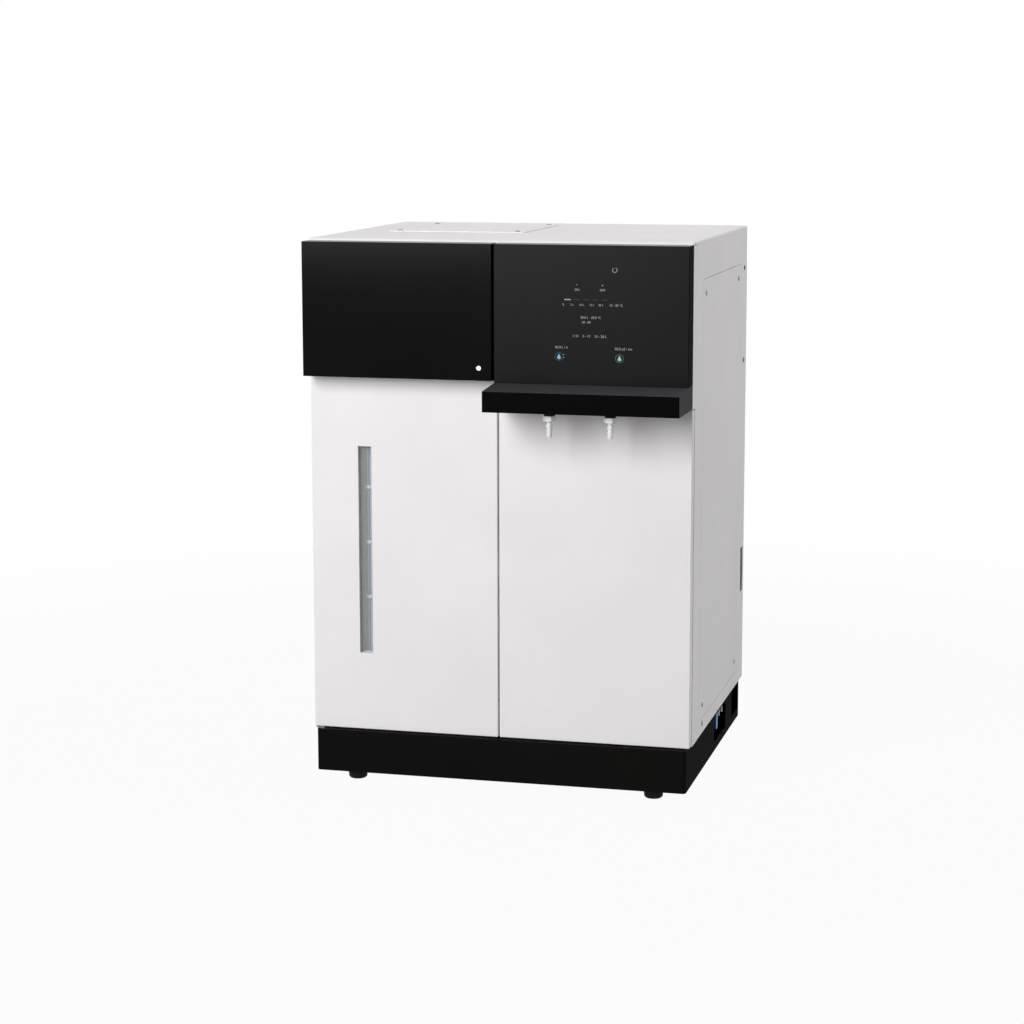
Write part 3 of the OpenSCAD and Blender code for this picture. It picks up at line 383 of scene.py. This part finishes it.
def turned(name, profile, centre, steps=48, start=0.0, sweep=2 * pi):
    """A lathe piece: profile is its radius and height in mm, turned about centre through sweep from start."""
    mesh = bpy.data.meshes.new(name)
    mesh.from_pydata([((centre[0] + r * cos(start)) * MM, (centre[1] + r * sin(start)) * MM, z * MM)
                      for r, z in profile], [(i, i + 1) for i in range(len(profile) - 1)], [])
    piece = bpy.data.objects.new(name, mesh)
    bpy.context.scene.collection.objects.link(piece)
    pick(piece)
    bpy.ops.object.mode_set(mode="EDIT")
    bpy.ops.mesh.select_all(action="SELECT")
    bpy.ops.mesh.spin(steps=steps, angle=sweep, axis=(0, 0, 1), center=(centre[0] * MM, centre[1] * MM, 0))
    bpy.ops.mesh.select_all(action="SELECT")
    bpy.ops.mesh.remove_doubles(threshold=1e-6)
    bpy.ops.mesh.normals_make_consistent(inside=False)
    done()
    return piece


def spread(master, name, places):
    """Copies master to each place, a matrix, and joins the copies into one piece."""
    copies = []
    for place in places:
        pick(master)
        bpy.ops.object.duplicate()
        bpy.context.object.matrix_world = place
        copies.append(bpy.context.object)
    pick(*copies)
    bpy.ops.object.join()
    bpy.ops.object.transform_apply(location=True, rotation=True, scale=True)
    bpy.context.object.name = name
    piece = bpy.context.object
    pick(master)
    bpy.ops.object.delete()
    return piece


def second_finish(piece, finish, wanted):
    """Gives another finish to the faces whose normal wanted takes."""
    piece.data.materials.append(finish)
    for face in piece.data.polygons:
        if wanted(face.normal):
            face.material_index = len(piece.data.materials) - 1


def block(middle, size, turn=0.0):
    """A box, in metres, turned about Z."""
    bpy.ops.object.select_all(action="DESELECT")
    bpy.ops.mesh.primitive_cube_add(size=1, location=middle, rotation=(0, 0, turn))
    piece = bpy.context.object
    piece.scale = size
    bpy.ops.object.transform_apply(location=True, rotation=True, scale=True)
    return piece


def carve(piece, tool, operation="DIFFERENCE"):
    """Cuts piece with tool, which is then deleted."""
    pick(piece)
    cut = piece.modifiers.new("cut", "BOOLEAN")
    cut.object, cut.operation, cut.solver = tool, operation, "EXACT"
    bpy.ops.object.modifier_apply(modifier=cut.name)
    pick(tool)
    bpy.ops.object.delete()


# Cabinet sheet metal, in mm

TOP_BEND, SHEET_T = 3.0, 1.2
REAR_CUT = (-248.6, 250, 660), (248.6, 262, 700)        # the rear panel's place
FRONT_CUT = (-255, -170, 660), (255, -149.5, 711)       # the front's place, under the top's lip


def folded_top():
    """The top cover: one sheet folded down on four sides, cut away at the rear panel and over the front."""
    low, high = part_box("top_cover")
    sheet = block((low + high) / 2, high - low)
    sheet.name = "top_cover_made"
    choose_edges(sheet, lambda a, b: max(a.z, b.z) > high.z - CLOSE)
    bpy.ops.mesh.bevel(offset=TOP_BEND * MM, segments=5, affect="EDGES")
    done()
    choose_faces(sheet, lambda middle, normal: normal.z < -0.9)
    bpy.ops.mesh.delete(type="FACE")
    done()
    wall = sheet.modifiers.new("sheet", "SOLIDIFY")
    wall.thickness, wall.offset = SHEET_T * MM, -1
    bpy.ops.object.modifier_apply(modifier=wall.name)
    for start, end in (REAR_CUT, FRONT_CUT):
        start, end = Vector(start) * MM, Vector(end) * MM
        carve(sheet, block((start + end) / 2, end - start))
    soften(sheet, 0)
    return settle(sheet, WHITE_COAT, CABINET, ("top_cover",))


folded_top()
for node, fold in (
    ("left_door", 1.6), ("right_front_panel", 1.6), ("service_plate", 0.0),
    ("side_panel_left", 0.0), ("side_panel_right", 0.0), ("front_post_left", 0.0), ("front_post_right", 0.0),
    ("rear_post_left", 0.0), ("rear_post_right", 0.0), ("chassis_floor", 0.0), ("hinge_jamb", 0.0),
    ("panel_backing", 0.0), ("door_liner", 0.0),
):
    from_node(node, WHITE_COAT, fold, 0.25)
for node in ("rear_panel", "centre_partition", "middle_shelf"):
    from_node(node, GREY_COAT, 0, 0.25)
skirt = from_node("plinth_skirt", BLACK_COAT, 0, 0.6, 3)
# The plinth's up-facing faces get the lighter black: painted highlight
second_finish(skirt, BLACK_PAINTED_SHEEN, lambda normal: normal.z > 0.9)
from_node("plinth_floor", BLACK_COAT, 0, 0.25)

# Black front

for node, finish, slot, fold, edge in (
    ("upper_cover", SATIN_BLACK, "black_paint", 1.8, 0.3),
    ("control_housing", MATT_ABS, "black_plastic", 0, 0.3),
    ("touch_panel", SMOKED_PANEL, "panel_black", 0.6, 0.1),
):
    front = from_node(node, finish, fold, edge)
    # The up-facing faces get the lighter black: painted highlight
    second_finish(front, BLACK_PAINTED_SHEEN, lambda normal: normal.z > 0.8)
    if node == "touch_panel":
        # The panel's right side gets the darker black: a painted shadow line along its edge
        second_finish(front, GLOSS_BLACK_PAINTED_SHADE, lambda normal: normal.x > 0.3)
hood = from_node("dispensing_hood", GREY_BLACK_PAINTED_LIGHT, 0, 0.8, 3)
# The front faces get the darker black, painted shade; the top and ends keep the grey copy, painted light
second_finish(hood, GLOSS_BLACK_PAINTED_SHADE, lambda normal: normal.y < -0.9)


# Screws: pan heads with a cross recess

HEAD_R, HEAD_H = 3.6, 1.8       # mm


def pan_head():
    """A pan-head screw's head on the Z axis, with its middle at its origin: half of it is sunk in the sheet."""
    bpy.ops.object.select_all(action="DESELECT")
    bpy.ops.mesh.primitive_cylinder_add(vertices=32, radius=HEAD_R * MM, depth=HEAD_H * MM,
                                        location=(0, 0, HEAD_H / 2 * MM))
    head = bpy.context.object
    choose_edges(head, lambda a, b: min(a.z, b.z) > 0.8 * MM)
    bpy.ops.mesh.bevel(offset=1.1 * MM, segments=5, affect="EDGES")
    done()
    for turn in (0, pi / 2):
        blade = block((0, 0, 1.5 * MM), (4.0 * MM, 0.9 * MM, 1.6 * MM), turn)
        choose_faces(blade, lambda middle, normal: normal.z < -0.5)
        bpy.ops.transform.resize(value=(0.45, 0.8, 1))
        done()
        carve(head, blade)
    soften(head, 0)
    return head


def facing(x, y, z, tilt):
    """Where a screw's head goes: in mm, with its axis tilted about Y from straight up."""
    return Matrix.Translation(Vector((x, y, z)) * MM) @ Matrix.Rotation(tilt, 4, "Y")


def spin(turn):
    """Turns a head about its own axis, so that the recesses don't all line up."""
    return Matrix.Rotation(turn, 4, "Z")


PLATE_TOP, SIDE_X, REAR_Y = 716.2, 250, 254.5       # the faces that the heads are on, in mm
SIDE_SPOTS = ((-75.5, 84), (-75.5, 109), (-75.5, 646), (183.5, 109), (183.5, 646))
TO_REAR = Matrix.Rotation(-pi / 2, 4, "X")
zinc_places = [facing(x, y, PLATE_TOP, 0) for x in (-181, -19) for y in (10, 190)]
for side in (-1, 1):
    zinc_places += [facing(side * SIDE_X, y, z, side * pi / 2) @ spin(0.5 * y) for y, z in SIDE_SPOTS]
black_places = [facing(side * SIDE_X, 234.5, z, side * pi / 2) @ spin(z)
                for side in (-1, 1) for z in (658, 529)]
zinc_places += [facing(x, REAR_Y, z, 0) @ TO_REAR @ spin(0.3 * z)
                for x in (-236, 0, 236) for z in (92, 390, 688)]
settle(spread(pan_head(), "panel_screw_heads", zinc_places), ZINC, CABINET, ("cabinet_screws",))
settle(spread(pan_head(), "rear_screw_heads", black_places), BLACK_OXIDE, CABINET)


# Marks printed on the touch panel, and the lamps behind it

FACE_Y = -197.5     # front of the touch panel
INK_T = 0.06        # thickness of a mark


def flat_mark():
    """Makes the flat piece just added, which stands on the panel's face, a mesh with its place in it."""
    mark = bpy.context.object
    mark.name = "mark"
    if mark.type != "MESH":
        bpy.ops.object.convert(target="MESH")
        mark = bpy.context.object
    bpy.ops.object.transform_apply(location=True, rotation=True, scale=True)
    return mark


def at(x, z, face=FACE_Y):
    return (x * MM, (face - INK_T) * MM, z * MM)


UPRIGHT = (pi / 2, 0, 0)


def words(text, x, z, height, face=FACE_Y):
    bpy.ops.object.select_all(action="DESELECT")
    bpy.ops.object.text_add(location=at(x, z, face), rotation=UPRIGHT)
    letters = bpy.context.object
    letters.data.body = text
    letters.data.size = height * 1.4 * MM
    letters.data.align_x, letters.data.align_y = "CENTER", "CENTER"
    letters.data.resolution_u = 4
    return flat_mark()


def disc(x, z, radius, sides=32):
    bpy.ops.object.select_all(action="DESELECT")
    bpy.ops.mesh.primitive_circle_add(vertices=sides, radius=radius * MM, fill_type="NGON", location=at(x, z),
                                      rotation=UPRIGHT)
    return flat_mark()


def bar(x0, x1, z, height, face=FACE_Y):
    bpy.ops.object.select_all(action="DESELECT")
    bpy.ops.mesh.primitive_plane_add(size=1, location=at((x0 + x1) / 2, z, face), rotation=UPRIGHT)
    bpy.context.object.scale = ((x1 - x0) * MM, height * MM, 1)
    mark = flat_mark()
    choose_edges(mark, lambda a, b: True)
    bpy.ops.mesh.bevel(offset=height * 0.35 * MM, segments=3, affect="VERTICES")
    done()
    return mark


def ring(x, z, outer, inner, gap=0.0):
    """A ring, open at its top by gap, an angle each way."""
    mark = disc(x, z, outer, 48)
    choose_faces(mark, lambda middle, normal: True)
    bpy.ops.mesh.inset(thickness=(outer - inner) * MM)
    bpy.ops.mesh.delete(type="FACE")
    done()
    if gap:
        choose_faces(mark, lambda middle, normal: abs(atan2(middle.x - x * MM, middle.z - z * MM)) < gap)
        bpy.ops.mesh.delete(type="FACE")
        done()
    return mark


def drop(x, z, radius):
    """A water drop: a disc with its top drawn out to a point."""
    mark = disc(x, z, radius, 48)
    for point in mark.data.vertices:
        up = min(1.0, (point.co.z - z * MM) / (radius * MM))
        if up > 0:
            point.co.x = x * MM + (point.co.x - x * MM) * (1 - up) ** 0.35
            point.co.z += radius * MM * 0.95 * up ** 2
    return mark


def printed(name, marks, finish):
    """Joins flat marks into one piece, as thick as the ink."""
    pick(*marks)
    if len(marks) > 1:
        bpy.ops.object.join()
    piece = bpy.context.object
    piece.name = name
    bpy.ops.object.mode_set(mode="EDIT")
    bpy.ops.mesh.select_all(action="SELECT")
    bpy.ops.mesh.remove_doubles(threshold=1e-7)
    bpy.ops.mesh.normals_make_consistent(inside=False)
    done()
    ink = piece.modifiers.new("ink", "SOLIDIFY")
    ink.thickness, ink.offset = INK_T * MM, 0
    bpy.ops.object.modifier_apply(modifier=ink.name)
    return settle(piece, finish, CABINET)


PANEL_WORDS = (     # words, X, Z and height, in mm
    ("ON", 108.9, 656.6, 2.8), ("OFF", 141.2, 656.4, 2.8),
    ("0", 91.6, 638, 2.6), ("5 L", 102.9, 638, 2.6), ("10 L", 114.9, 638, 2.6), ("15 L", 127.6, 638, 2.6),
    ("20 L", 139.4, 638, 2.6), ("15 - 25 °C", 158.5, 638, 2.9),
    ("20.0 L   25.0 °C", 126.5, 622.3, 2.9), ("00 : 00", 121.0, 616.4, 2.8),
    ("I / O", 107.5, 599.2, 2.9), ("5 - 10", 121.1, 599.2, 2.9), ("15 - 20 L", 139.0, 599.0, 3.1),
    ("00.0 L / h", 89.4, 584.8, 3.0), ("00.0 µS / cm", 168.0, 584.2, 3.1),
)
BAR_Z, BAR_PITCH = 644.4, 12        # the row of level bars

marks = [ring(156.7, 681.6, 3.2, 2.55, 0.5), bar(156.4, 157.0, 684.2, 3.2)]
marks += [disc(108.7, 663, 0.55), disc(141.3, 662.4, 0.75)]
marks += [words(*row) for row in PANEL_WORDS]
printed("panel_marks", marks, INK)
unlit_bars = [bar(104.4 + BAR_PITCH * i, 112.4 + BAR_PITCH * i, BAR_Z, 1.2) for i in range(4)]
printed("panel_unlit_bars", unlit_bars, UNLIT)
printed("panel_level_bar", [bar(92.9, 101.2, BAR_Z, 1.3)], LIT_WHITE)
blue_marks = [drop(86.2, 572.2, 2.3), disc(92.3, 575.6, 0.6), disc(92.3, 572.0, 0.5)]
printed("panel_blue_drop", blue_marks, LIT_BLUE)
printed("panel_green_drop", [drop(163.1, 571.4, 2.3)], LIT_GREEN)
printed("panel_green_ring", [ring(163.1, 572.4, 5.2, 4.7)], RING_GREEN)
printed("panel_blue_ring", [ring(86.2, 573.3, 5.2, 4.8)], RING_BLUE)


# The tank's scale, in litres, on its front wall

TANK_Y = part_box("storage_tank")[0].y / MM
EMPTY_Z, LITRE = 100, 17        # height of the empty level and of one litre, in mm
scale = [bar(-62 if i % 5 else -72, -50, EMPTY_Z + LITRE * i, 1.0, TANK_Y) for i in range(1, 21)]
scale += [words(str(i), -82, EMPTY_Z + LITRE * i, 6, TANK_Y) for i in (5, 10, 15, 20)]
scale += [words("L", -82, EMPTY_Z + LITRE * 21, 6, TANK_Y)]
printed("tank_scale", scale, STRIPE)


# The level gauge: a white enamel back in the tube's bore, with a blue stripe down its middle

low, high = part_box("gauge_tube")
tube_axis = ((low.x + high.x) / 2 / MM, (low.y + high.y) / 2 / MM)
for name, radius, half, middle, wall, finish, slot in (
    ("gauge_white_back", 3.15, radians(80), radians(90), 0.12, WHITE_ENAMEL, "white_plastic"),
    ("gauge_blue_stripe", 2.95, radians(23), radians(121), 0.1, STRIPE, "blue_plastic"),
):
    ends = [(radius, low.z / MM + 2), (radius, high.z / MM - 2)]
    strip = turned(name, ends, tube_axis, 16, middle + half, 2 * half)
    wall_of = strip.modifiers.new("wall", "SOLIDIFY")
    wall_of.thickness, wall_of.offset = wall * MM, 0
    pick(strip)
    bpy.ops.object.modifier_apply(modifier=wall_of.name)
    bpy.ops.object.shade_smooth_by_angle(angle=radians(40))
    settle(strip, finish, CABINET)

bands = []
for z in (246.2, 318.9, 391.5):
    profile = [(4.55, z - 2.2), (5.0, z - 2.0), (5.0, z + 2.0), (4.55, z + 2.2), (4.55, z - 2.2)]
    bands.append(turned("gauge_band", profile, tube_axis))
for band in bands:
    soften(band, 0)
pick(*bands)
bpy.ops.object.join()
settle(bpy.context.object, WHITE_ACETAL, CABINET)


# Outlet nozzles: a chamfered hexagon nut over a barbed hose tail

# Each barb's lip and neck radius, and its lower and upper end above the tip, in mm
BARBS = ((3.6, 2.5, 0.2, 4.2), (3.9, 2.5, 5.6, 9.6), (4.2, 2.6, 11.0, 15.2))
BORE_R, SHANK_R, NUT_R = 1.8, 5.0, 8.2


def nozzle(node):
    """Each barb widens upwards to a sharp lip, so that a hose pushed on from below holds."""
    low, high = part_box(node)
    x, y, tip, top = (low.x + high.x) / 2 / MM, (low.y + high.y) / 2 / MM, low.z / MM, high.z / MM
    nut_low, nut_high = tip + 20.2, tip + 26.7
    barbs = [(radius, tip + up) for lip, neck, up0, up1 in BARBS
             for radius, up in ((neck + 0.1, up0), (lip, up1 - 1.5), (lip, up1), (neck, up1 + 0.1))]
    tail = turned(node + "_made", [(BORE_R, tip), (2.8, tip)] + barbs + [
        (2.9, nut_low), (2.9, nut_low + 0.5), (SHANK_R, nut_high - 0.5), (SHANK_R, top),
        (BORE_R, top), (BORE_R, tip)], (x, y))
    nut_form = turned("nut_form", [
        (0, nut_low), (7.2, nut_low), (8.4, nut_low + 0.8), (8.4, nut_high - 0.8),
        (7.2, nut_high), (0, nut_high)], (x, y))
    bpy.ops.object.select_all(action="DESELECT")
    bpy.ops.mesh.primitive_cylinder_add(
        vertices=6, radius=NUT_R * MM, depth=(nut_high - nut_low) * MM, rotation=(0, 0, pi / 6),
        location=(x * MM, y * MM, (nut_low + nut_high) / 2 * MM))
    nut = bpy.context.object
    carve(nut, nut_form, "INTERSECT")
    pick(nut)
    bpy.ops.object.transform_apply(location=True, rotation=True, scale=True)
    soften(nut, 0.2)
    soften(tail, 0)
    pick(tail, nut)
    bpy.ops.object.join()
    return settle(tail, WHITE_ACETAL, CABINET, (node,))


for node in ("nozzle_left", "nozzle_right"):
    nozzle(node)


# The cover's fastener sits in a dark pressed ring

FASTENER_AT = Vector((-17, -197.45, 556)) * MM
profile = [(3.15, 0), (5.2, 0), (5.2, 0.35), (4.7, 0.6), (3.5, 0.6), (3.15, 0.35), (3.15, 0)]
ring_piece = turned("fastener_ring", profile, (0, 0))
ring_piece.data.transform(Matrix.Translation(FASTENER_AT) @ Matrix.Rotation(pi / 2, 4, "X"))
soften(ring_piece, 0)
settle(ring_piece, MATT_ABS, COVER)


# The drain lever's grip, a flat paddle that hangs from its hub

paddle = block(Vector((243.3, 75, 49.5)) * MM, Vector((3.4, 12, 23)) * MM)
paddle.name = "drain_paddle"
choose_edges(paddle, lambda a, b: abs(a.x - b.x) > 2 * MM)
bpy.ops.mesh.bevel(offset=5 * MM, segments=6, affect="EDGES")
done()
soften(paddle, 0.7)
settle(paddle, BLUE_PP, "drain_cock")


# Pressed louvres over the rear vents, each open at its lower side

def louvre():
    """A half-bowl pressed out of the sheet, its lower side open, with its middle at the origin."""
    hood = block((0, 0, 0), Vector((84, 2.4, 8)) * MM)
    choose_edges(hood, lambda a, b: min(a.y, b.y) > 0 and min(a.z, b.z) > 0)
    bpy.ops.transform.translate(value=(0, -2.0 * MM, 0))
    done()
    choose_edges(hood, lambda a, b: min(a.y, b.y) > -0.9 * MM)
    bpy.ops.mesh.bevel(offset=0.8 * MM, segments=2, affect="EDGES")
    done()
    choose_faces(hood, lambda middle, normal: normal.z < -0.9 or normal.y < -0.9)
    bpy.ops.mesh.delete(type="FACE")
    done()
    wall = hood.modifiers.new("sheet", "SOLIDIFY")
    wall.thickness, wall.offset = 0.8 * MM, -1
    pick(hood)
    bpy.ops.object.modifier_apply(modifier=wall.name)
    bpy.ops.object.shade_smooth_by_angle(angle=radians(50))
    return hood


vents = [Matrix.Translation(Vector((x, 255.6, z + 14 * i + 5.0)) * MM)
         for x in (-112.5, 112.5) for z in (161, 581) for i in range(8)]
settle(spread(louvre(), "rear_louvres", vents), GREY_COAT, CABINET)


# What else the CAD frame shows

for node, finish, slot, edge in (
    ("nozzle_collars", RUBBER, "rubber_black", 0.4), ("cover_fastener", NICKEL, "steel", 0.2),
    ("rubber_feet", RUBBER, "rubber_black", 0.6), ("drain_valve", WHITE_ACETAL, "white_plastic", 0.3),
    ("drain_lever", BLUE_PP, "blue_plastic", 0.6), ("cable_gland", MATT_ABS, "black_plastic", 0.5),
    ("main_breaker", GREY_ABS, "grey_plastic", 0.5), ("breaker_lever", MATT_ABS, "black_plastic", 0.4),
    ("tank_lid", LID_PP, "blue_plastic", 0.6), ("storage_tank", MILKY_PE, "tank_plastic", 1.0),
    ("level_float", WHITE_PP, "white_plastic", 0.6), ("gauge_fittings", WHITE_ACETAL, "white_plastic", 0.5),
    ("gauge_clips", WHITE_ACETAL, "white_plastic", 0.3), ("gauge_channel", WHITE_ACETAL, "white_plastic", 0.25),
    ("boiler_base", MATT_ABS, "black_plastic", 0.8), ("boiler_lid", STEEL, "steel", 0.6),
    ("condenser_caps", MATT_ABS, "black_plastic", 0.6), ("ion_cartridge", WHITE_PP, "white_plastic", 1.0),
    ("feed_pump", MATT_ABS, "black_plastic", 0.8), ("inlet_valve", WHITE_ACETAL, "white_plastic", 0.4),
):
    from_node(node, finish, 0, edge)

for node, finish in (
    ("foot_screws", ZINC), ("door_pivots", ZINC), ("cover_hinge_pins", ZINC), ("front_panel_studs", ZINC),
    ("door_magnets", FERRITE), ("slit_pane", SLIT_SHEET), ("gauge_tube", GAUGE_TUBE), ("boiler_vessel", BOROSILICATE),
    ("condenser_jacket", BOROSILICATE), ("condenser_core", BOROSILICATE), ("heater_element", STEEL),
    ("still_pipes", STEEL), ("water_hoses", SILICONE), ("control_board", BOARD),
):
    node_piece = frame["nodes"][node]
    node_piece.data.materials.clear()
    node_piece.data.materials.append(finish)
